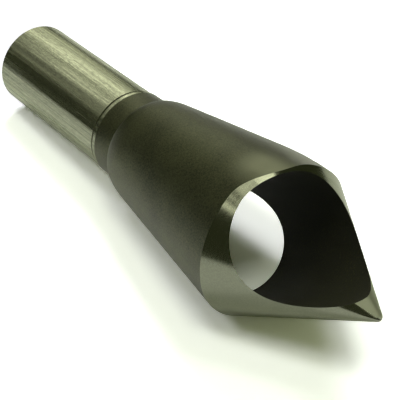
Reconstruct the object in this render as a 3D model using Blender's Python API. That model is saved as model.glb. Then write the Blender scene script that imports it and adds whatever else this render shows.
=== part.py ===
"""Cross-hole countersink: one turned and ground piece of high-speed steel, standing on its shank.

The middle of the shank's flat end is the origin, and the point is straight above it. A station is
a height above that end. Lengths are in metres and +Z is up. Angles round the tool count from +X
towards +Y, and the mouth of the cross hole faces -Y.
"""
import math

import bmesh
import bpy
from mathutils import Matrix, Vector

MM = 0.001

# Ground shank, which the chuck grips.
SHANK_RADIUS = 4.0 * MM
SHANK_LENGTH = 16.4 * MM
END_CHAMFER = 0.3 * MM

# Unground collar between the shank and the body, a little thicker than the shank.
COLLAR_RADIUS = 4.1 * MM
COLLAR_LENGTH = 3.3 * MM
COLLAR_CHAMFER = 0.2 * MM

# Flared body behind the edge. It starts with a rounded shoulder that swells out of the collar.
BODY_REAR_RADIUS = 4.74 * MM
BODY_EDGE_RADIUS = 7.14 * MM
BODY_LENGTH = 16.8 * MM
SHOULDER_LENGTH = 2.6 * MM
SHOULDER_POWER = 3.2

# Point: a cone of about 60 degrees with a slightly blunt tip.
CONE_LENGTH = 13.2 * MM
TIP_RADIUS = 0.4 * MM

# Relief of the cone. The edge stands furthest forward beside the cutting lip, falls back slowly
# round the tool, and returns quickly across the mouth of the cross hole. The cone is also ground
# a little off centre, which throws the edge to and fro once a turn.
LIP_ADVANCE = 2.07 * MM
LIP_ANGLE = math.radians(262.0)
RELIEF_RUN = math.radians(174.0)
RELIEF_RETURN = math.radians(41.0)
EDGE_THROW = 0.52 * MM
EDGE_THROW_ANGLE = math.radians(-1.0)

# The flare is ground away a little towards the edge, on the side behind the lip.
EASE_DEPTH = 0.42 * MM
EASE_LENGTH = 3.3 * MM
EASE_ANGLE = math.radians(229.0)
EASE_BACK = math.radians(54.0)
EASE_FRONT = math.radians(39.0)

# Slanted cross hole. Its mouth in the cone makes the cutting lip, and the chips leave at its far
# end, through the body. The crossing is where it meets the tool's axis, behind the nominal edge.
HOLE_RADIUS = 5.04 * MM
HOLE_SLANT = math.radians(30.9)
HOLE_ANGLE = math.radians(278.8)
HOLE_CROSSING = 0.46 * MM
HOLE_OFFSET = 0.3 * MM

# Fineness of the round surfaces.
SIDES = 88
HOLE_SIDES = 72
SHOULDER_STEPS = 7
FLARE_STEPS = 3
EASE_STEPS = 4
CONE_STEPS = 5
TIP_STEPS = 3

# Stations along the tool that follow from the lengths above.
BODY_START = SHANK_LENGTH + COLLAR_LENGTH
EDGE_STATION = BODY_START + BODY_LENGTH
VERTEX_STATION = EDGE_STATION + CONE_LENGTH
FLARE = (BODY_EDGE_RADIUS - BODY_REAR_RADIUS) / BODY_LENGTH
CONE_HALF_ANGLE = math.atan(BODY_EDGE_RADIUS / CONE_LENGTH)
FULL_TURN = 2.0 * math.pi


def bump(angle, middle, back, front):
    """Smooth rise to 1 at middle, down to 0 at back behind it and at front ahead of it."""
    turn = (angle - middle + math.pi) % FULL_TURN - math.pi
    share = turn / (front if turn > 0.0 else back)
    return math.cos(0.5 * math.pi * share) ** 2 if abs(share) < 1.0 else 0.0


def flare_radius(station):
    return BODY_REAR_RADIUS + FLARE * (station - BODY_START)


def edge_station(angle):
    """Station of the edge between body and cone, which the relief moves to and fro."""
    lift = LIP_ADVANCE * bump(angle, LIP_ANGLE, RELIEF_RUN, RELIEF_RETURN)
    return EDGE_STATION + lift + EDGE_THROW * math.cos(angle - EDGE_THROW_ANGLE)


def edge_radius(angle):
    """Radius of the edge: the flare's, less what is ground away beside the lip."""
    return flare_radius(edge_station(angle)) - ease_depth(angle)


def ease_depth(angle):
    return EASE_DEPTH * bump(angle, EASE_ANGLE, EASE_BACK, EASE_FRONT)


def plain_rows():
    """Station and radius of each turned ring, from the shank's end to where the ease starts."""
    rows = [
        (0.0, SHANK_RADIUS - END_CHAMFER),
        (END_CHAMFER, SHANK_RADIUS),
        (SHANK_LENGTH, SHANK_RADIUS),
        (SHANK_LENGTH + COLLAR_CHAMFER, COLLAR_RADIUS),
        (BODY_START, COLLAR_RADIUS),
    ]
    for step in range(1, SHOULDER_STEPS + 1):
        run = (step / SHOULDER_STEPS) ** 3
        station = BODY_START + SHOULDER_LENGTH * run
        rise = (1.0 - (1.0 - run) ** SHOULDER_POWER) ** (1.0 / SHOULDER_POWER)
        swell = (flare_radius(station) - COLLAR_RADIUS) * rise
        rows.append((station, COLLAR_RADIUS + swell))
    start = BODY_START + SHOULDER_LENGTH
    end = EDGE_STATION - EASE_LENGTH
    for step in range(1, FLARE_STEPS + 1):
        station = start + (end - start) * step / FLARE_STEPS
        rows.append((station, flare_radius(station)))
    return rows


def ruled_rows(angle):
    """Stations and radii at one angle, from where the ease starts to the blunt tip."""
    points = []
    start = EDGE_STATION - EASE_LENGTH
    edge = edge_station(angle)
    for step in range(1, EASE_STEPS + 1):
        share = step / EASE_STEPS
        station = start + (edge - start) * share
        points.append((station, flare_radius(station) - ease_depth(angle) * share ** 2))
    tip_centre = VERTEX_STATION - TIP_RADIUS / math.sin(CONE_HALF_ANGLE)
    tip_start = tip_centre + TIP_RADIUS * math.sin(CONE_HALF_ANGLE)
    tip_edge = TIP_RADIUS * math.cos(CONE_HALF_ANGLE)
    for step in range(1, CONE_STEPS + 1):
        share = step / CONE_STEPS
        station = edge + (tip_start - edge) * share
        points.append((station, edge_radius(angle) + (tip_edge - edge_radius(angle)) * share))
    for step in range(1, TIP_STEPS):
        turn = CONE_HALF_ANGLE + (0.5 * math.pi - CONE_HALF_ANGLE) * step / TIP_STEPS
        points.append((tip_centre + TIP_RADIUS * math.sin(turn), TIP_RADIUS * math.cos(turn)))
    return points


def turned_mesh(name):
    """The whole outside: plain rings, then rings that follow the edge, then the tip."""
    angles = [FULL_TURN * index / SIDES for index in range(SIDES)]
    rows = [[row] * SIDES for row in plain_rows()]
    rows += [list(row) for row in zip(*(ruled_rows(angle) for angle in angles))]
    form = bmesh.new()
    rings = []
    for row in rows:
        rings.append([
            form.verts.new((radius * math.cos(angle), radius * math.sin(angle), station))
            for angle, (station, radius) in zip(angles, row)
        ])
    form.faces.new(rings[0])
    for near, far in zip(rings, rings[1:]):
        for index in range(SIDES):
            after = (index + 1) % SIDES
            form.faces.new((near[index], far[index], far[after], near[after]))
    tip_centre = VERTEX_STATION - TIP_RADIUS / math.sin(CONE_HALF_ANGLE)
    tip = form.verts.new((0.0, 0.0, tip_centre + TIP_RADIUS))
    for index in range(SIDES):
        form.faces.new((rings[-1][index], tip, rings[-1][(index + 1) % SIDES]))
    bmesh.ops.recalc_face_normals(form, faces=form.faces)
    bmesh.ops.triangulate(form, faces=[face for face in form.faces if len(face.verts) == 4])
    mesh = bpy.data.meshes.new(name)
    form.to_mesh(mesh)
    form.free()
    return mesh


def hole_cutter():
    """A long round bar along the cross hole, kept out of the model."""
    length = 2.0 * (BODY_LENGTH + CONE_LENGTH)
    bpy.ops.mesh.primitive_cylinder_add(vertices=HOLE_SIDES, radius=HOLE_RADIUS, depth=length)
    cutter = bpy.context.object
    cutter.name = "cross_hole_cutter"
    up = Vector((0.0, 0.0, 1.0))
    out = Vector((math.cos(HOLE_ANGLE), math.sin(HOLE_ANGLE), 0.0))
    direction = up * math.cos(HOLE_SLANT) + out * math.sin(HOLE_SLANT)
    middle = up * (EDGE_STATION - HOLE_CROSSING) + up.cross(out) * HOLE_OFFSET
    turn = direction.to_track_quat("Z", "Y").to_matrix().to_4x4()
    cutter.data.transform(Matrix.Translation(middle) @ turn)
    cutter.hide_render = True
    cutter.display_type = "WIRE"
    return cutter


def steel():
    material = bpy.data.materials.new("tool_steel")
    material.use_nodes = True
    shader = material.node_tree.nodes["Principled BSDF"]
    shader.inputs["Base Color"].default_value = (0.24, 0.245, 0.2, 1.0)
    shader.inputs["Metallic"].default_value = 1.0
    shader.inputs["Roughness"].default_value = 0.35
    return material


for old in list(bpy.data.objects):
    bpy.data.objects.remove(old, do_unlink=True)

countersink = bpy.data.objects.new("countersink", turned_mesh("countersink"))
bpy.context.scene.collection.objects.link(countersink)
cutter = hole_cutter()

cut = countersink.modifiers.new("cross_hole", "BOOLEAN")
cut.operation = "DIFFERENCE"
cut.solver = "EXACT"
cut.object = cutter

countersink.data.shade_smooth()
countersink.data.set_sharp_from_angle(angle=math.radians(30.0))
countersink.data.materials.append(steel())
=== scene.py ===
"""Looks of a cross-hole countersink: one turned and ground piece of high-speed steel.

The tool stands on the flat end of its shank at the origin, with its point straight above. A
station is a height above that end. Lengths are in metres, +Z is up, and angles round the tool
count from +X towards +Y.
"""
import math

import bpy
from mathutils import Matrix, Quaternion, Vector


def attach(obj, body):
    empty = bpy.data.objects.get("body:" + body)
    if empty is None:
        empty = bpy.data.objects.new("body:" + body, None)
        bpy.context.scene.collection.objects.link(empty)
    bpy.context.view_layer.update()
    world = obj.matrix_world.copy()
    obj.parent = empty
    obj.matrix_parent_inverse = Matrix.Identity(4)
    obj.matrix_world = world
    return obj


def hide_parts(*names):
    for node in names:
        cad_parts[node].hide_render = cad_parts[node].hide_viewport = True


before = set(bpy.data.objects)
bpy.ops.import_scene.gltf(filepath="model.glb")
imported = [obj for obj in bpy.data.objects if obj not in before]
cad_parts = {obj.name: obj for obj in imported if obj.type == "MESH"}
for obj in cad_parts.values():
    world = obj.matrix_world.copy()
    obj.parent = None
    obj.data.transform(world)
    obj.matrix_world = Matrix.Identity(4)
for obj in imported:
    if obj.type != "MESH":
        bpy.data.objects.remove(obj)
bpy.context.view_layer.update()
MM = 0.001


# Shank. The plain round end that the chuck grips, ground to size on bare high-speed steel, with a
# small chamfer round its flat end. Finishing leaves broad streaks along it, thin lines among them
# and short fine scratches.
SHANK_RADIUS = 4.0 * MM
SHANK_LENGTH = 16.4 * MM
END_CHAMFER = 0.3 * MM
UNDERCUT_START = 16.52 * MM
SHANK_STEEL = (0.3, 0.315, 0.235, 1.0)
SHANK_CONTRAST = 0.6
SHANK_ROUGHNESS = (0.2, 0.3)
SHANK_ANISOTROPY = 0.5
STEEL_AT_GRAZING = (0.85, 0.87, 0.76, 1.0)
STREAK_SIZE = (0.45 * MM, 0.45 * MM, 16.0 * MM)
STREAK_DEPTH = 0.026 * MM
LINE_SIZE = (0.24 * MM, 0.24 * MM, 16.0 * MM)
LINE_TO_STREAK_DEPTH = 0.22
SCRATCH_SIZE = (0.09 * MM, 0.09 * MM, 0.5 * MM)
SCRATCH_TO_STREAK_DEPTH = 0.05
NOISE_LOW, NOISE_HIGH = 0.3, 0.7
GROUND, BLACKED, POINTED = 1, 2, 3

# Each row of the tool's half section is a radius, a station, how far the row follows the wave of
# the edge and the ground ease behind it, and the finish of the surface up to the next row.
profile = [
    (0.0, 0.0, 0.0, 0.0, GROUND),
    (SHANK_RADIUS - END_CHAMFER, 0.0, 0.0, 0.0, GROUND),
    (SHANK_RADIUS, END_CHAMFER, 0.0, 0.0, GROUND),
    (SHANK_RADIUS, UNDERCUT_START, 0.0, 0.0, BLACKED),
]


def add_node(tree, kind, **settings):
    node = tree.nodes.new(kind)
    for name, value in settings.items():
        setattr(node, name, value)
    return node


def feed(tree, socket, value):
    """Link a socket into an input, or set the input's own value."""
    if isinstance(value, bpy.types.NodeSocket):
        tree.links.new(value, socket)
    else:
        socket.default_value = value


def maths(tree, operation, *terms):
    """One Math node on sockets and numbers."""
    node = add_node(tree, "ShaderNodeMath", operation=operation)
    for socket, term in zip(node.inputs, terms):
        feed(tree, socket, term)
    return node.outputs[0]


def finish_material(name, metallic=1.0):
    """A finish with its shader, and the Object coordinates that its marks lie on."""
    material = bpy.data.materials.new(name)
    material.use_nodes = True
    tree = material.node_tree
    shader = tree.nodes["Principled BSDF"]
    shader.inputs["Metallic"].default_value = metallic
    place = add_node(tree, "ShaderNodeTexCoord").outputs["Object"]
    return material, tree, shader, place


def marks(tree, place, size, detail=2.0, roughness=0.5):
    """Noise whose grains have the given size along X, Y and Z."""
    mapping = add_node(tree, "ShaderNodeMapping")
    feed(tree, mapping.inputs["Vector"], place)
    mapping.inputs["Scale"].default_value = [1.0 / length for length in size]
    noise = add_node(tree, "ShaderNodeTexNoise")
    feed(tree, noise.inputs["Vector"], mapping.outputs["Vector"])
    noise.inputs["Scale"].default_value = 1.0
    noise.inputs["Detail"].default_value = detail
    noise.inputs["Roughness"].default_value = roughness
    return noise.outputs["Fac"]


def between(tree, noise, low, high):
    """A value from low to high as the noise climbs through its usual range."""
    span = add_node(tree, "ShaderNodeMapRange")
    feed(tree, span.inputs["Value"], noise)
    span.inputs["From Min"].default_value = NOISE_LOW
    span.inputs["From Max"].default_value = NOISE_HIGH
    span.inputs["To Min"].default_value = low
    span.inputs["To Max"].default_value = high
    return span.outputs["Result"]


def tint(tree, share, first, second):
    """A colour that goes from the first to the second as the share climbs from 0 to 1.

    The Mix node's sockets share their names with others, so they are taken by number.
    """
    mix = add_node(tree, "ShaderNodeMix", data_type="RGBA")
    feed(tree, mix.inputs[0], share)
    feed(tree, mix.inputs[6], first)
    feed(tree, mix.inputs[7], second)
    return mix.outputs[2]


def speckle(tree, noise, colour, contrast):
    """The colour, made darker and lighter by the noise, up to the contrast either way."""
    dark = [(1.0 - contrast) * part for part in colour[:3]] + [1.0]
    light = [(1.0 + contrast) * part for part in colour[:3]] + [1.0]
    return tint(tree, between(tree, noise, 0.0, 1.0), dark, light)


def press(tree, shader, height, depth):
    """Bump of the given depth on the shader."""
    bump = add_node(tree, "ShaderNodeBump")
    feed(tree, bump.inputs["Height"], height)
    bump.inputs["Distance"].default_value = depth
    bump.inputs["Strength"].default_value = 1.0
    feed(tree, shader.inputs["Normal"], bump.outputs["Normal"])


def ground_shank():
    material, tree, shader, place = finish_material("ground_shank")
    shader.inputs["Anisotropic"].default_value = SHANK_ANISOTROPY
    shader.inputs["Specular Tint"].default_value = STEEL_AT_GRAZING
    streaks = marks(tree, place, STREAK_SIZE, detail=2.0)
    lines = marks(tree, place, LINE_SIZE, detail=1.0)
    scratches = marks(tree, place, SCRATCH_SIZE, detail=3.0, roughness=0.65)
    shade = maths(tree, "MULTIPLY_ADD", lines, 0.5, maths(tree, "MULTIPLY", scratches, 0.5))
    colour = speckle(tree, shade, SHANK_STEEL, SHANK_CONTRAST)
    feed(tree, shader.inputs["Base Color"], colour)
    feed(tree, shader.inputs["Roughness"], between(tree, streaks, *SHANK_ROUGHNESS))
    relief = maths(tree, "MULTIPLY_ADD", scratches, SCRATCH_TO_STREAK_DEPTH, streaks)
    relief = maths(tree, "MULTIPLY_ADD", lines, LINE_TO_STREAK_DEPTH, relief)
    press(tree, shader, relief, STREAK_DEPTH)
    return material


# Collar and body. The bar as it was blacked in hardening, never ground: a collar a little
# thicker than the shank, then a rounded shoulder and a flare up to the edge. Dull, dark, fine
# grained oxide, worn paler in a patch beside the cutting lip.
COLLAR_RADIUS = 4.1 * MM
COLLAR_LENGTH = 3.3 * MM
BODY_REAR_RADIUS = 4.74 * MM
BODY_EDGE_RADIUS = 7.14 * MM
BODY_LENGTH = 16.8 * MM
SHOULDER_LENGTH = 2.6 * MM
SHOULDER_POWER = 3.2
SHOULDER_ROWS = 22
FLARE_ROWS = 26
BODY_START = SHANK_LENGTH + COLLAR_LENGTH
EDGE_STATION = BODY_START + BODY_LENGTH
FLARE = (BODY_EDGE_RADIUS - BODY_REAR_RADIUS) / BODY_LENGTH
OXIDE = (0.079, 0.085, 0.042, 1.0)
OXIDE_CONTRAST = 0.65
OXIDE_ROUGHNESS = (0.42, 0.52)
OXIDE_GLOSS = 0.3
OXIDE_GLOSS_ROUGHNESS = 0.4
OXIDE_GRAIN = 0.12 * MM
OXIDE_GRAIN_DEPTH = 0.016 * MM
CLOUD_WIDTH = 4.0 * MM
CLOUD_STRENGTH = 0.35
WORN_OXIDE = (0.2, 0.21, 0.135, 1.0)
WORN_FROM = 33.4 * MM
WORN_FULL = 36.2 * MM
WORN_ANGLES = [math.radians(angle) for angle in (255.0, 270.0, 276.0, 300.0)]

# The grinding wheel undercuts the collar's rear edge and leaves it with a narrow bright land.
UNDERCUT_DEPTH = 0.03 * MM
UNDERCUT_END = 16.74 * MM
LAND_START = 16.86 * MM
LAND_END = 17.2 * MM

# The flare is ground away a little towards the edge, on the side behind the lip.
EASE_DEPTH = 0.42 * MM
EASE_LENGTH = 3.3 * MM
EASE_ANGLE = math.radians(229.0)
EASE_BACK = math.radians(54.0)
EASE_FRONT = math.radians(39.0)
EASE_ROWS = 10


def flare_radius(station):
    return BODY_REAR_RADIUS + FLARE * (station - BODY_START)


undercut_radius = SHANK_RADIUS - UNDERCUT_DEPTH
undercut_middle = 0.5 * (UNDERCUT_START + UNDERCUT_END)
profile.append((undercut_radius, UNDERCUT_START + UNDERCUT_DEPTH, 0.0, 0.0, BLACKED))
profile.append((undercut_radius, undercut_middle, 0.0, 0.0, BLACKED))
profile.append((0.5 * (undercut_radius + COLLAR_RADIUS), UNDERCUT_END, 0.0, 0.0, GROUND))
profile.append((COLLAR_RADIUS, LAND_START, 0.0, 0.0, GROUND))
profile.append((COLLAR_RADIUS, LAND_END, 0.0, 0.0, BLACKED))
profile.append((COLLAR_RADIUS, BODY_START, 0.0, 0.0, BLACKED))
for row in range(1, SHOULDER_ROWS + 1):
    run = (row / SHOULDER_ROWS) ** 3
    station = BODY_START + SHOULDER_LENGTH * run
    rise = (1.0 - (1.0 - run) ** SHOULDER_POWER) ** (1.0 / SHOULDER_POWER)
    radius = COLLAR_RADIUS + (flare_radius(station) - COLLAR_RADIUS) * rise
    profile.append((radius, station, 0.0, 0.0, BLACKED))
flare_start = BODY_START + SHOULDER_LENGTH
ease_start = EDGE_STATION - EASE_LENGTH
for row in range(1, FLARE_ROWS + 1):
    station = flare_start + (ease_start - flare_start) * row / FLARE_ROWS
    profile.append((flare_radius(station), station, 0.0, 0.0, BLACKED))
for row in range(1, EASE_ROWS + 1):
    share = row / EASE_ROWS
    station = ease_start + EASE_LENGTH * share
    finish = BLACKED if row < EASE_ROWS else POINTED
    profile.append((flare_radius(station), station, share, share ** 2, finish))


def ramp(tree, value, start, end, kind="SMOOTHSTEP"):
    """Climb from 0 at start to 1 at end, where start may be the larger."""
    slope = add_node(tree, "ShaderNodeMapRange", interpolation_type=kind)
    feed(tree, slope.inputs["Value"], value)
    slope.inputs["From Min"].default_value = min(start, end)
    slope.inputs["From Max"].default_value = max(start, end)
    slope.inputs["To Min"].default_value = 0.0 if start < end else 1.0
    slope.inputs["To Max"].default_value = 1.0 if start < end else 0.0
    return slope.outputs["Result"]


def angle_and_station(tree, place):
    """Where a spot lies on the tool, its angle counted from 180 to 540 degrees."""
    spot = add_node(tree, "ShaderNodeSeparateXYZ")
    feed(tree, spot.inputs[0], place)
    angle = maths(tree, "ARCTAN2", spot.outputs["Y"], spot.outputs["X"])
    return maths(tree, "ADD", angle, 2.0 * math.pi), spot.outputs["Z"]


def dull_oxide():
    material, tree, shader, place = finish_material("dull_oxide")
    grain = marks(tree, place, (OXIDE_GRAIN,) * 3, detail=3.0, roughness=0.65)
    clouds = marks(tree, place, (CLOUD_WIDTH,) * 3, detail=2.0)
    clouds = maths(tree, "SUBTRACT", clouds, 0.5)
    shade = maths(tree, "MULTIPLY_ADD", clouds, CLOUD_STRENGTH, grain)
    plain = speckle(tree, shade, OXIDE, OXIDE_CONTRAST)
    angle, station = angle_and_station(tree, place)
    rear, full_from, full_to, front = WORN_ANGLES
    worn = ramp(tree, station, WORN_FROM, WORN_FULL)
    worn = maths(tree, "MULTIPLY", worn, ramp(tree, angle, rear, full_from))
    worn = maths(tree, "MULTIPLY", worn, ramp(tree, angle, front, full_to))
    feed(tree, shader.inputs["Base Color"], tint(tree, worn, plain, WORN_OXIDE))
    feed(tree, shader.inputs["Roughness"], between(tree, grain, *OXIDE_ROUGHNESS))
    shader.inputs["Coat Weight"].default_value = OXIDE_GLOSS
    shader.inputs["Coat Roughness"].default_value = OXIDE_GLOSS_ROUGHNESS
    press(tree, shader, grain, OXIDE_GRAIN_DEPTH)
    return material


# Cone. The ground point of about 60 degrees with a slightly blunt tip. Its relief makes the edge
# stand furthest forward beside the cutting lip, fall back slowly round the tool and return
# quickly across the mouth of the cross hole. It is also ground a little off centre.
CONE_LENGTH = 13.2 * MM
TIP_RADIUS = 0.4 * MM
LIP_ADVANCE = 2.07 * MM
LIP_ANGLE = math.radians(262.0)
RELIEF_RUN = math.radians(174.0)
RELIEF_RETURN = math.radians(41.0)
EDGE_THROW = 0.52 * MM
EDGE_THROW_ANGLE = math.radians(-1.0)
CONE_ROWS = 36
TIP_ROWS = 8
CONE_STEEL = (0.243, 0.255, 0.192, 1.0)
CONE_CONTRAST = 0.12
CONE_ROUGHNESS = (0.13, 0.2)
CONE_ANISOTROPY = 0.3
CONE_GRAIN = 0.13 * MM
RING_SIZE = (9.0 * MM, 9.0 * MM, 0.05 * MM)
CONE_MARK_DEPTH = 0.0003 * MM
CONE_HALF_ANGLE = math.atan(BODY_EDGE_RADIUS / CONE_LENGTH)
TIP_CENTRE = EDGE_STATION + CONE_LENGTH - TIP_RADIUS / math.sin(CONE_HALF_ANGLE)

# The tip is dressed by hand on one side, which leaves it duller and paler there, with a facet
# beside that side. Another facet, of the relief, lies beside the cutting lip.
DRESSED_STEEL = (0.55, 0.58, 0.45, 1.0)
DRESSED_ROUGHENING = 0.45
DRESSED_FROM = 43.6 * MM
DRESSED_FULL = 45.2 * MM
DRESSED_TO = math.radians(317.5)
TIP_FACET_TO = math.radians(352.0)
TIP_FACET_TILT = math.radians(4.0)
TIP_FACET_RADIUS = 2.0 * MM
LIP_FACET_FROM = math.radians(268.0)
LIP_FACET_TO = math.radians(286.5)
LIP_FACET_TILT = math.radians(8.0)

tip_start = TIP_CENTRE + TIP_RADIUS * math.sin(CONE_HALF_ANGLE)
tip_edge = TIP_RADIUS * math.cos(CONE_HALF_ANGLE)
for row in range(1, CONE_ROWS + 1):
    share = row / CONE_ROWS
    radius = BODY_EDGE_RADIUS + (tip_edge - BODY_EDGE_RADIUS) * share
    station = EDGE_STATION + (tip_start - EDGE_STATION) * share
    profile.append((radius, station, 1.0 - share, 1.0 - share, POINTED))
for row in range(1, TIP_ROWS + 1):
    turn = CONE_HALF_ANGLE + (0.5 * math.pi - CONE_HALF_ANGLE) * row / TIP_ROWS
    radius = TIP_RADIUS * math.cos(turn) if row < TIP_ROWS else 0.0
    profile.append((radius, TIP_CENTRE + TIP_RADIUS * math.sin(turn), 0.0, 0.0, POINTED))


def facet(tree, angle, start, end, zero_at, climb):
    """Height in millimetres of a facet that climbs from start to end, and is 0 at one of them."""
    turn = maths(tree, "MAXIMUM", maths(tree, "MINIMUM", angle, end), start)
    turn = maths(tree, "SUBTRACT", turn, zero_at)
    return maths(tree, "MULTIPLY", turn, climb / MM)


def ground_cone():
    material, tree, shader, place = finish_material("ground_cone")
    shader.inputs["Anisotropic"].default_value = CONE_ANISOTROPY
    shader.inputs["Specular Tint"].default_value = STEEL_AT_GRAZING
    rings = marks(tree, place, RING_SIZE, detail=2.0)
    grain = marks(tree, place, (CONE_GRAIN,) * 3, detail=3.0, roughness=0.65)
    angle, station = angle_and_station(tree, place)
    near_tip = ramp(tree, station, DRESSED_FROM, DRESSED_FULL, kind="LINEAR")
    dressed_side = maths(tree, "LESS_THAN", angle, DRESSED_TO)
    dressed = maths(tree, "MULTIPLY", near_tip, dressed_side)
    rough = between(tree, rings, *CONE_ROUGHNESS)
    rough = maths(tree, "MULTIPLY_ADD", dressed, DRESSED_ROUGHENING, rough)
    feed(tree, shader.inputs["Roughness"], rough)
    ground = speckle(tree, grain, CONE_STEEL, CONE_CONTRAST)
    feed(tree, shader.inputs["Base Color"], tint(tree, dressed, ground, DRESSED_STEEL))
    climb = BODY_EDGE_RADIUS * math.tan(LIP_FACET_TILT)
    lip_facet = facet(tree, angle, LIP_FACET_FROM, LIP_FACET_TO, LIP_FACET_TO, climb)
    climb = TIP_FACET_RADIUS * math.tan(TIP_FACET_TILT)
    tip_facet = facet(tree, angle, DRESSED_TO, TIP_FACET_TO, DRESSED_TO, climb)
    off_tip = maths(tree, "SUBTRACT", 1.0, near_tip)
    relief = maths(tree, "MULTIPLY", lip_facet, off_tip)
    relief = maths(tree, "ADD", relief, maths(tree, "MULTIPLY", tip_facet, near_tip))
    relief = maths(tree, "MULTIPLY_ADD", rings, CONE_MARK_DEPTH / MM, relief)
    relief = maths(tree, "MULTIPLY_ADD", grain, CONE_MARK_DEPTH / MM, relief)
    press(tree, shader, relief, MM)
    return material


def cam_rise():
    """Node group: smooth rise to 1 at Middle, down to 0 at Back behind it and Front ahead of it."""
    tree = bpy.data.node_groups.new("cam_rise", "GeometryNodeTree")
    for name in ("Angle", "Middle", "Back", "Front"):
        tree.interface.new_socket(name, in_out="INPUT", socket_type="NodeSocketFloat")
    tree.interface.new_socket("Rise", in_out="OUTPUT", socket_type="NodeSocketFloat")
    given = add_node(tree, "NodeGroupInput").outputs
    turn = maths(tree, "SUBTRACT", given["Angle"], given["Middle"])
    turn = maths(tree, "WRAP", turn, math.pi, -math.pi)
    ahead = maths(tree, "GREATER_THAN", turn, 0.0)
    reach = add_node(tree, "ShaderNodeMix")
    feed(tree, reach.inputs[0], ahead)
    feed(tree, reach.inputs[2], given["Back"])
    feed(tree, reach.inputs[3], given["Front"])
    share = maths(tree, "DIVIDE", turn, reach.outputs[0])
    share = maths(tree, "MAXIMUM", maths(tree, "MINIMUM", share, 1.0), -1.0)
    wave = maths(tree, "COSINE", maths(tree, "MULTIPLY", share, 0.5 * math.pi))
    result = add_node(tree, "NodeGroupOutput")
    feed(tree, result.inputs["Rise"], maths(tree, "MULTIPLY", wave, wave))
    return tree


# Cross hole. A slanted hole drilled right through the head: its rim in the cone is the cutting
# lip, and the chips leave at its far end, through the body. Its wall is black and rough, with
# a few olive specks.
HOLE_RADIUS = 5.04 * MM
HOLE_SLANT = math.radians(30.9)
HOLE_ANGLE = math.radians(278.8)
HOLE_CROSSING = 0.46 * MM
HOLE_OFFSET = 0.3 * MM
WALL_DARK = (0.006, 0.0062, 0.003, 1.0)
WALL_SPECK = (0.045, 0.046, 0.02, 1.0)
WALL_ROUGHNESS = (0.6, 0.8)
WALL_SHINE = 0.32
WALL_GRAIN = 0.14 * MM
WALL_GRAIN_DEPTH = 0.02 * MM
SPECK_RARITY = 3.0
HOLE_SIDES = 180
TURNED_SIDES = 240
SHARP_ANGLE = math.radians(24.0)
MERGE_DISTANCE = 0.001 * MM


def black_wall():
    material, tree, shader, place = finish_material("black_hole_wall", metallic=0.0)
    shader.inputs["Specular IOR Level"].default_value = WALL_SHINE
    grain = marks(tree, place, (WALL_GRAIN,) * 3, detail=3.0, roughness=0.7)
    specks = maths(tree, "POWER", between(tree, grain, 0.0, 1.0), SPECK_RARITY)
    feed(tree, shader.inputs["Base Color"], tint(tree, specks, WALL_DARK, WALL_SPECK))
    feed(tree, shader.inputs["Roughness"], between(tree, grain, *WALL_ROUGHNESS))
    press(tree, shader, grain, WALL_GRAIN_DEPTH)
    return material


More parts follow.
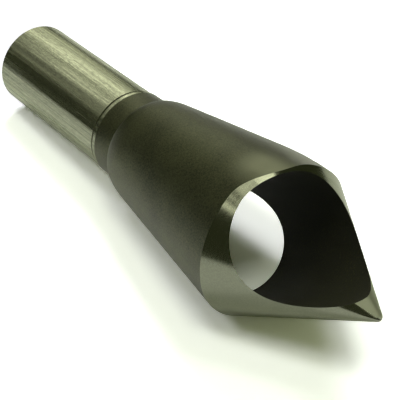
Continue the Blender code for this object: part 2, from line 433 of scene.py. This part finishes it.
def turning_tree():
    """The node tree that turns the profile, waves the edge, bores the hole and sets finishes."""
    tree = bpy.data.node_groups.new("turned_and_ground", "GeometryNodeTree")
    wanted = {
        "Profile": "Geometry",
        "Rows": "Int",
        "Sides": "Int",
        "Flare": "Float",
        "Lip Advance": "Float",
        "Lip Angle": "Float",
        "Relief Run": "Float",
        "Relief Return": "Float",
        "Edge Throw": "Float",
        "Edge Throw Angle": "Float",
        "Ease Depth": "Float",
        "Ease Angle": "Float",
        "Ease Back": "Float",
        "Ease Front": "Float",
        "Hole Sides": "Int",
        "Hole Radius": "Float",
        "Hole Length": "Float",
        "Hole Middle": "Vector",
        "Hole Direction": "Vector",
        "Sharp Angle": "Float",
        "Shank Finish": "Material",
        "Oxide Finish": "Material",
        "Cone Finish": "Material",
        "Hole Finish": "Material",
    }
    for name, kind in wanted.items():
        tree.interface.new_socket(name, in_out="INPUT", socket_type=f"NodeSocket{kind}")
    tree.interface.new_socket("Tool", in_out="OUTPUT", socket_type="NodeSocketGeometry")
    given = add_node(tree, "NodeGroupInput").outputs

    # A grid with the profile's rows, and one column more than sides, which closes the round. Half
    # is added before an index is divided, so that it isn't rounded down into the row before.
    columns = maths(tree, "ADD", given["Sides"], 1.0)
    sheet = add_node(tree, "GeometryNodeMeshGrid")
    feed(tree, sheet.inputs["Vertices X"], given["Rows"])
    feed(tree, sheet.inputs["Vertices Y"], columns)
    index = add_node(tree, "GeometryNodeInputIndex").outputs["Index"]
    past_index = maths(tree, "ADD", index, 0.5)
    row = maths(tree, "FLOOR", maths(tree, "DIVIDE", past_index, columns))
    column = maths(tree, "SUBTRACT", index, maths(tree, "MULTIPLY", row, columns))
    angle = maths(tree, "MULTIPLY", column, 2.0 * math.pi)
    angle = maths(tree, "DIVIDE", angle, given["Sides"])
    face_row = maths(tree, "FLOOR", maths(tree, "DIVIDE", past_index, given["Sides"]))

    def of_row(data_type, value, wanted_row):
        sample = add_node(tree, "GeometryNodeSampleIndex", data_type=data_type, domain="POINT")
        feed(tree, sample.inputs["Geometry"], given["Profile"])
        feed(tree, sample.inputs["Value"], value)
        feed(tree, sample.inputs["Index"], wanted_row)
        return sample.outputs[0]

    def profile_value(name, wanted_row):
        attribute = add_node(tree, "GeometryNodeInputNamedAttribute", data_type="FLOAT")
        attribute.inputs["Name"].default_value = name
        return of_row("FLOAT", attribute.outputs["Attribute"], wanted_row)

    marked = add_node(tree, "GeometryNodeStoreNamedAttribute", data_type="FLOAT", domain="FACE")
    feed(tree, marked.inputs["Geometry"], sheet.outputs["Mesh"])
    marked.inputs["Name"].default_value = "finish"
    feed(tree, marked.inputs["Value"], profile_value("finish", face_row))

    point = add_node(tree, "ShaderNodeSeparateXYZ")
    place = add_node(tree, "GeometryNodeInputPosition").outputs[0]
    feed(tree, point.inputs[0], of_row("FLOAT_VECTOR", place, row))
    edge_follow = profile_value("edge_follow", row)
    ease_follow = profile_value("ease_follow", row)

    rise = cam_rise()

    def cam(height, middle, back, front):
        node = add_node(tree, "GeometryNodeGroup", node_tree=rise)
        feed(tree, node.inputs["Angle"], angle)
        feed(tree, node.inputs["Middle"], given[middle])
        feed(tree, node.inputs["Back"], given[back])
        feed(tree, node.inputs["Front"], given[front])
        return maths(tree, "MULTIPLY", node.outputs["Rise"], given[height])

    # The relief and the throw lift the edge, and the ease takes the flare in behind the lip.
    relief = cam("Lip Advance", "Lip Angle", "Relief Run", "Relief Return")
    throw = maths(tree, "COSINE", maths(tree, "SUBTRACT", angle, given["Edge Throw Angle"]))
    lift = maths(tree, "MULTIPLY_ADD", throw, given["Edge Throw"], relief)
    lift = maths(tree, "MULTIPLY", lift, edge_follow)
    ease = cam("Ease Depth", "Ease Angle", "Ease Back", "Ease Front")
    ease = maths(tree, "MULTIPLY", ease, ease_follow)
    radius = maths(tree, "MULTIPLY_ADD", lift, given["Flare"], point.outputs["X"])
    radius = maths(tree, "SUBTRACT", radius, ease)
    station = maths(tree, "ADD", point.outputs["Z"], lift)

    spot = add_node(tree, "ShaderNodeCombineXYZ")
    feed(tree, spot.inputs["X"], maths(tree, "MULTIPLY", radius, maths(tree, "COSINE", angle)))
    feed(tree, spot.inputs["Y"], maths(tree, "MULTIPLY", radius, maths(tree, "SINE", angle)))
    feed(tree, spot.inputs["Z"], station)
    turned = add_node(tree, "GeometryNodeSetPosition")
    feed(tree, turned.inputs["Geometry"], marked.outputs["Geometry"])
    feed(tree, turned.inputs["Position"], spot.outputs["Vector"])
    closed = add_node(tree, "GeometryNodeMergeByDistance")
    feed(tree, closed.inputs["Geometry"], turned.outputs["Geometry"])
    closed.inputs["Distance"].default_value = MERGE_DISTANCE

    bar = add_node(tree, "GeometryNodeMeshCylinder", fill_type="NGON")
    feed(tree, bar.inputs["Vertices"], given["Hole Sides"])
    feed(tree, bar.inputs["Radius"], given["Hole Radius"])
    feed(tree, bar.inputs["Depth"], given["Hole Length"])
    aim = add_node(tree, "FunctionNodeAlignRotationToVector", axis="Z")
    feed(tree, aim.inputs["Vector"], given["Hole Direction"])
    drill = add_node(tree, "GeometryNodeTransform")
    feed(tree, drill.inputs["Geometry"], bar.outputs["Mesh"])
    feed(tree, drill.inputs["Translation"], given["Hole Middle"])
    feed(tree, drill.inputs["Rotation"], aim.outputs["Rotation"])

    bored = add_node(tree, "GeometryNodeMeshBoolean", operation="DIFFERENCE", solver="EXACT")
    feed(tree, bored.inputs["Mesh 1"], closed.outputs["Geometry"])
    feed(tree, bored.inputs["Mesh 2"], drill.outputs["Geometry"])

    smooth = add_node(tree, "GeometryNodeSetShadeSmooth", domain="FACE")
    feed(tree, smooth.inputs["Geometry"], bored.outputs["Mesh"])
    smooth.inputs["Shade Smooth"].default_value = True
    fold = add_node(tree, "GeometryNodeInputMeshEdgeAngle").outputs["Unsigned Angle"]
    crisp = add_node(tree, "GeometryNodeSetShadeSmooth", domain="EDGE")
    feed(tree, crisp.inputs["Geometry"], smooth.outputs["Geometry"])
    feed(tree, crisp.inputs["Selection"], maths(tree, "GREATER_THAN", fold, given["Sharp Angle"]))
    crisp.inputs["Shade Smooth"].default_value = False
    real = add_node(tree, "GeometryNodeRealizeInstances")
    feed(tree, real.inputs["Geometry"], crisp.outputs["Geometry"])

    # The bored wall has no finish number of its own, so it keeps the first of these.
    shape = real.outputs["Geometry"]
    number = add_node(tree, "GeometryNodeInputNamedAttribute", data_type="FLOAT")
    number.inputs["Name"].default_value = "finish"
    for finish, least in (
        ("Hole Finish", 0),
        ("Shank Finish", GROUND),
        ("Oxide Finish", BLACKED),
        ("Cone Finish", POINTED),
    ):
        coat = add_node(tree, "GeometryNodeSetMaterial")
        feed(tree, coat.inputs["Geometry"], shape)
        chosen = maths(tree, "GREATER_THAN", number.outputs["Attribute"], least - 0.5)
        feed(tree, coat.inputs["Selection"], chosen)
        feed(tree, coat.inputs["Material"], given[finish])
        shape = coat.outputs["Geometry"]
    result = add_node(tree, "NodeGroupOutput")
    feed(tree, result.inputs["Tool"], shape)
    return tree


def half_section():
    """The profile as a line of points, each with the rest of its row as attributes."""
    mesh = bpy.data.meshes.new("half_section")
    points = [(row[0], 0.0, row[1]) for row in profile]
    mesh.from_pydata(points, [(index, index + 1) for index in range(len(points) - 1)], [])
    for name, column in (("edge_follow", 2), ("ease_follow", 3), ("finish", 4)):
        values = mesh.attributes.new(name, "FLOAT", "POINT")
        values.data.foreach_set("value", [row[column] for row in profile])
    section = bpy.data.objects.new("half_section", mesh)
    bpy.context.scene.collection.objects.link(section)
    return section


def made_by_tree(carrier, tree, settings, name):
    """A plain piece from the tree's result on the carrier, which is then removed."""
    modifier = carrier.modifiers.new("tree", "NODES")
    modifier.node_group = tree
    sockets = [socket for socket in tree.interface.items_tree if socket.in_out == "INPUT"]
    identifiers = {socket.name: socket.identifier for socket in sockets}
    for setting, value in settings.items():
        modifier[identifiers[setting]] = value
    bpy.context.view_layer.update()
    shown = carrier.evaluated_get(bpy.context.evaluated_depsgraph_get())
    mesh = bpy.data.meshes.new_from_object(shown)
    mesh.name = name
    bpy.data.objects.remove(carrier, do_unlink=True)
    piece = bpy.data.objects.new(name, mesh)
    bpy.context.scene.collection.objects.link(piece)
    return piece


hole_out = Vector((math.cos(HOLE_ANGLE), math.sin(HOLE_ANGLE), 0.0))
up = Vector((0.0, 0.0, 1.0))
hole_direction = up * math.cos(HOLE_SLANT) + hole_out * math.sin(HOLE_SLANT)
hole_middle = up * (EDGE_STATION - HOLE_CROSSING) + up.cross(hole_out) * HOLE_OFFSET
tool = made_by_tree(half_section(), turning_tree(), {
    "Rows": len(profile),
    "Sides": TURNED_SIDES,
    "Flare": FLARE,
    "Lip Advance": LIP_ADVANCE,
    "Lip Angle": LIP_ANGLE,
    "Relief Run": RELIEF_RUN,
    "Relief Return": RELIEF_RETURN,
    "Edge Throw": EDGE_THROW,
    "Edge Throw Angle": EDGE_THROW_ANGLE,
    "Ease Depth": EASE_DEPTH,
    "Ease Angle": EASE_ANGLE,
    "Ease Back": EASE_BACK,
    "Ease Front": EASE_FRONT,
    "Hole Sides": HOLE_SIDES,
    "Hole Radius": HOLE_RADIUS,
    "Hole Length": 2.0 * (BODY_LENGTH + CONE_LENGTH),
    "Hole Middle": hole_middle,
    "Hole Direction": hole_direction,
    "Sharp Angle": SHARP_ANGLE,
    "Shank Finish": ground_shank(),
    "Oxide Finish": dull_oxide(),
    "Cone Finish": ground_cone(),
    "Hole Finish": black_wall(),
}, "turned_tool")

# The finish numbers have chosen the materials, so the piece doesn't keep them.
tool.data.attributes.remove(tool.data.attributes["finish"])
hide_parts("countersink")
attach(tool, "root")


# Floor and card. The tool stands on a plain white floor, and a white card leans behind it on the
# edge of the head and the end of the shank. The card stands for the pale surface under the tool
# in the photograph: it takes the shadows there, and the steel shows it.
FLOOR_SIZE = 1.6
FLOOR_GLOW = 0.8
CARD_LEAN = math.radians(4.98)
CARD_GAP = 0.05 * MM
CARD_TURN = math.radians(17.4)
CARD_WIDTH = 109.0 * MM
CARD_HEIGHT = 170.0 * MM
CARD_CENTRE = (-22.0 * MM, 15.0 * MM)
STAGE_WHITE = (0.83, 0.83, 0.795, 1.0)
STAGE_SEEN = (1.6, 1.62, 1.58, 1.0)
FLOOR_SHINE = (0.93, 0.9, 1.05, 1.0)

card_normal = Vector((0.0, -math.cos(CARD_LEAN), math.sin(CARD_LEAN)))
card_foot = Vector((0.0, SHANK_RADIUS + CARD_GAP, 0.0))
card_up = Vector((0.0, math.sin(CARD_LEAN), math.cos(CARD_LEAN)))
card_across = Vector((math.cos(CARD_TURN), 0.0, 0.0)) - card_up * math.sin(CARD_TURN)
card_along = card_normal.cross(card_across)


def stage_white(name, glow=0.0, one_sided=False):
    """Matt white, paler yet to the camera, with some glow there.

    One-sided, it is clear from behind, and also to light that has come through it from behind.
    """
    material = bpy.data.materials.new(name)
    material.use_nodes = True
    tree = material.node_tree
    tree.nodes.clear()
    rays = add_node(tree, "ShaderNodeLightPath")
    seen = rays.outputs["Is Camera Ray"]
    matt = add_node(tree, "ShaderNodeBsdfDiffuse")
    feed(tree, matt.inputs["Color"], tint(tree, seen, STAGE_WHITE, STAGE_SEEN))
    shine = add_node(tree, "ShaderNodeEmission")
    shine.inputs["Color"].default_value = FLOOR_SHINE
    feed(tree, shine.inputs["Strength"], maths(tree, "MULTIPLY", seen, glow))
    both = add_node(tree, "ShaderNodeAddShader")
    feed(tree, both.inputs[0], matt.outputs[0])
    feed(tree, both.inputs[1], shine.outputs[0])
    surface = both.outputs[0]
    if one_sided:
        mix = add_node(tree, "ShaderNodeMixShader")
        behind = add_node(tree, "ShaderNodeNewGeometry").outputs["Backfacing"]
        clear = maths(tree, "MAXIMUM", behind, rays.outputs["Transparent Depth"])
        feed(tree, mix.inputs[0], maths(tree, "MINIMUM", clear, 1.0))
        feed(tree, mix.inputs[1], surface)
        feed(tree, mix.inputs[2], add_node(tree, "ShaderNodeBsdfTransparent").outputs[0])
        surface = mix.outputs[0]
    result = add_node(tree, "ShaderNodeOutputMaterial")
    feed(tree, result.inputs["Surface"], surface)
    return material


def stage_sheet(name, centre, across, along, width, height, material):
    """A flat sheet, width and height along the given directions."""
    mesh = bpy.data.meshes.new(name)
    corners = [centre + across * (0.5 * width * side) + along * (0.5 * height * end)
               for side, end in ((-1, -1), (1, -1), (1, 1), (-1, 1))]
    mesh.from_pydata(corners, [], [(0, 1, 2, 3)])
    mesh.materials.append(material)
    sheet = bpy.data.objects.new(name, mesh)
    bpy.context.scene.collection.objects.link(sheet)
    return sheet


# The steel doesn't show the floor, and light from below passes through it.
floor_across = Vector((1.0, 0.0, 0.0))
floor_along = Vector((0.0, 1.0, 0.0))
floor_white = stage_white("floor_white", glow=FLOOR_GLOW)
floor = stage_sheet("floor", Vector(), floor_across, floor_along,
                    FLOOR_SIZE, FLOOR_SIZE, floor_white)
floor.visible_glossy = False
floor.visible_shadow = False
card_centre = card_foot + card_across * CARD_CENTRE[0] + card_along * CARD_CENTRE[1]
card_white = stage_white("card_white", one_sided=True)
stage_sheet("card", card_centre, card_across, card_along, CARD_WIDTH, CARD_HEIGHT, card_white)


# Room and lamps. The room is dark to the steel and even to the white sheets. Windows and lamps
# are placed by their turn from the camera's line of sight over the card and their height above
# the card, and soft boxes by their angle round the tool.
VIEW_AZIMUTH = math.radians(37.63)
VIEW_ELEVATION = math.radians(41.73)
VIEW_ROLL = math.radians(127.14)
VIEW_DISTANCE = 101.06 * MM
VIEW_POINT = Vector((0.8, 0.62, 28.34)) * MM
ROOM_DARK = 0.055
ROOM_LIGHT = 0.16
ROOM_COLOUR = (1.0, 1.1, 0.55, 1.0)
ROOM_SEEN = (1.0, 1.0, 0.98, 1.0)
LAMP_DISTANCE = 0.4
LAMP_COLOUR = (1.0, 1.0, 0.82)
SHADE_COLOUR = (1.0, 1.0, 1.08)
WARM_SHADE_COLOUR = (0.96, 1.0, 0.86)
SHADE_SPREAD = 12.0

back = Vector((
    math.sin(VIEW_AZIMUTH) * math.cos(VIEW_ELEVATION),
    -math.cos(VIEW_AZIMUTH) * math.cos(VIEW_ELEVATION),
    math.sin(VIEW_ELEVATION),
))
sight = (-back - card_normal * (-back).dot(card_normal)).normalized()
aside = sight.cross(card_normal)

world = bpy.data.worlds.new("room")
bpy.context.scene.world = world
world.use_nodes = True
room = world.node_tree
rays = add_node(room, "ShaderNodeLightPath")
glossy = rays.outputs["Is Glossy Ray"]
seen = rays.outputs["Is Camera Ray"]
level = maths(room, "MULTIPLY_ADD", glossy, ROOM_DARK - ROOM_LIGHT, ROOM_LIGHT)
level = maths(room, "MAXIMUM", level, seen)
feed(room, room.nodes["Background"].inputs["Strength"], level)
feed(room, room.nodes["Background"].inputs["Color"], tint(room, seen, ROOM_COLOUR, ROOM_SEEN))


def over_card(turn, height):
    """Direction by its turn from the line of sight over the card and its height above the card."""
    turn, height = math.radians(turn), math.radians(height)
    along_card = sight * math.cos(turn) + aside * math.sin(turn)
    return along_card * math.cos(height) + card_normal * math.sin(height)


def round_tool(angle, height):
    """Direction by its angle round the standing tool and its height above the level."""
    angle, height = math.radians(angle), math.radians(height)
    reach = math.cos(height)
    return Vector((math.cos(angle) * reach, math.sin(angle) * reach, math.sin(height)))


def lamp(name, way, upright, wide, tall, brightness, colour=LAMP_COLOUR):
    """A flat lamp that faces the head, as wide and tall as the given angles seen from there."""
    light = bpy.data.lights.new(name, "AREA")
    light.shape = "RECTANGLE"
    light.size = 2.0 * LAMP_DISTANCE * math.tan(math.radians(0.5 * wide))
    light.size_y = 2.0 * LAMP_DISTANCE * math.tan(math.radians(0.5 * tall))
    light.color = colour
    light.energy = brightness * math.pi * light.size * light.size_y
    holder = bpy.data.objects.new(name, light)
    across = way.cross(upright).normalized()
    turned = Matrix((across, across.cross(way), way)).transposed()
    holder.matrix_world = Matrix.Translation(VIEW_POINT + way * LAMP_DISTANCE) @ turned.to_4x4()
    bpy.context.scene.collection.objects.link(holder)
    return holder


# Lamps and windows that the steel shows. The matt white sheets don't take their light.
for name, turn, height, wide, tall, brightness in (
    ("window", -13.0, 29.0, 22.0, 14.0, 2.3),
    ("window_low", -3.0, 14.0, 14.0, 16.0, 1.0),
    ("second_window", -42.0, 35.0, 17.0, 10.0, 1.35),
    ("side_wall", -62.0, 28.0, 20.0, 16.0, 0.36),
    ("ceiling_strip", -148.0, 53.0, 26.0, 7.6, 1.75),
    ("ceiling_lamp", -170.0, 73.0, 30.0, 18.0, 2.8),
):
    window = lamp(name, over_card(turn, height), card_normal, wide, tall, brightness)
    window.visible_diffuse = False

# Soft boxes for the sides that the photograph doesn't show, again only for the steel.
for name, angle, height, wide, tall, brightness in (
    ("box_behind_left", 118.0, 5.0, 40.0, 100.0, 2.0),
    ("box_behind_right", 48.0, 5.0, 18.0, 100.0, 1.5),
    ("box_left", 181.0, -31.0, 34.0, 14.0, 2.4),
    ("box_right", -8.0, -20.0, 34.0, 18.0, 0.5),
    ("box_front_left", 238.0, -21.0, 34.0, 24.0, 1.1),
    ("box_front_right", 316.0, -21.0, 14.0, 24.0, 0.9),
    ("box_high_right", 15.0, 46.0, 50.0, 24.0, 1.5),
    ("box_high_left", 170.0, 50.0, 50.0, 24.0, 1.4),
):
    box = lamp(name, round_tool(angle, height), up, wide, tall, brightness)
    box.visible_diffuse = False

# Lamps that the steel doesn't show. They light the white sheets and cast the tool's shadows there.
for name, turn, height, brightness, colour in (
    ("shade_lamp_far", 0.0, 55.0, 19.0, SHADE_COLOUR),
    ("shade_lamp_far_right", 30.0, 55.0, 8.5, SHADE_COLOUR),
    ("shade_lamp_right", 60.0, 75.0, 6.5, SHADE_COLOUR),
    ("shade_lamp_left", -122.0, 75.0, 9.0, SHADE_COLOUR),
    ("shade_lamp_low", -112.0, 55.0, 10.5, SHADE_COLOUR),
    ("shade_lamp_behind", 165.0, 70.0, 12.5, WARM_SHADE_COLOUR),
):
    way = over_card(turn, height)
    shade_lamp = lamp(name, way, card_normal, SHADE_SPREAD, SHADE_SPREAD, brightness, colour)
    shade_lamp.visible_glossy = False


# Camera. It looks at the tool from the photograph's side, turned about its line of sight, because
# the tool lies down there and stands up here.
LENS = 108.75
SENSOR_WIDTH = 36.0
NEAREST_SEEN = 0.005
FARTHEST_SEEN = 10.0

eye = bpy.data.cameras.new("camera")
eye.lens = LENS
eye.sensor_width = SENSOR_WIDTH
eye.clip_start = NEAREST_SEEN
eye.clip_end = FARTHEST_SEEN
camera = bpy.data.objects.new("camera", eye)
camera.rotation_mode = "QUATERNION"
level_view = (-back).to_track_quat("-Z", "Y")
camera.rotation_quaternion = level_view @ Quaternion((0.0, 0.0, 1.0), VIEW_ROLL)
camera.location = VIEW_POINT + back * VIEW_DISTANCE
bpy.context.scene.collection.objects.link(camera)
bpy.context.scene.camera = camera
bpy.context.scene.view_settings.view_transform = "Standard"
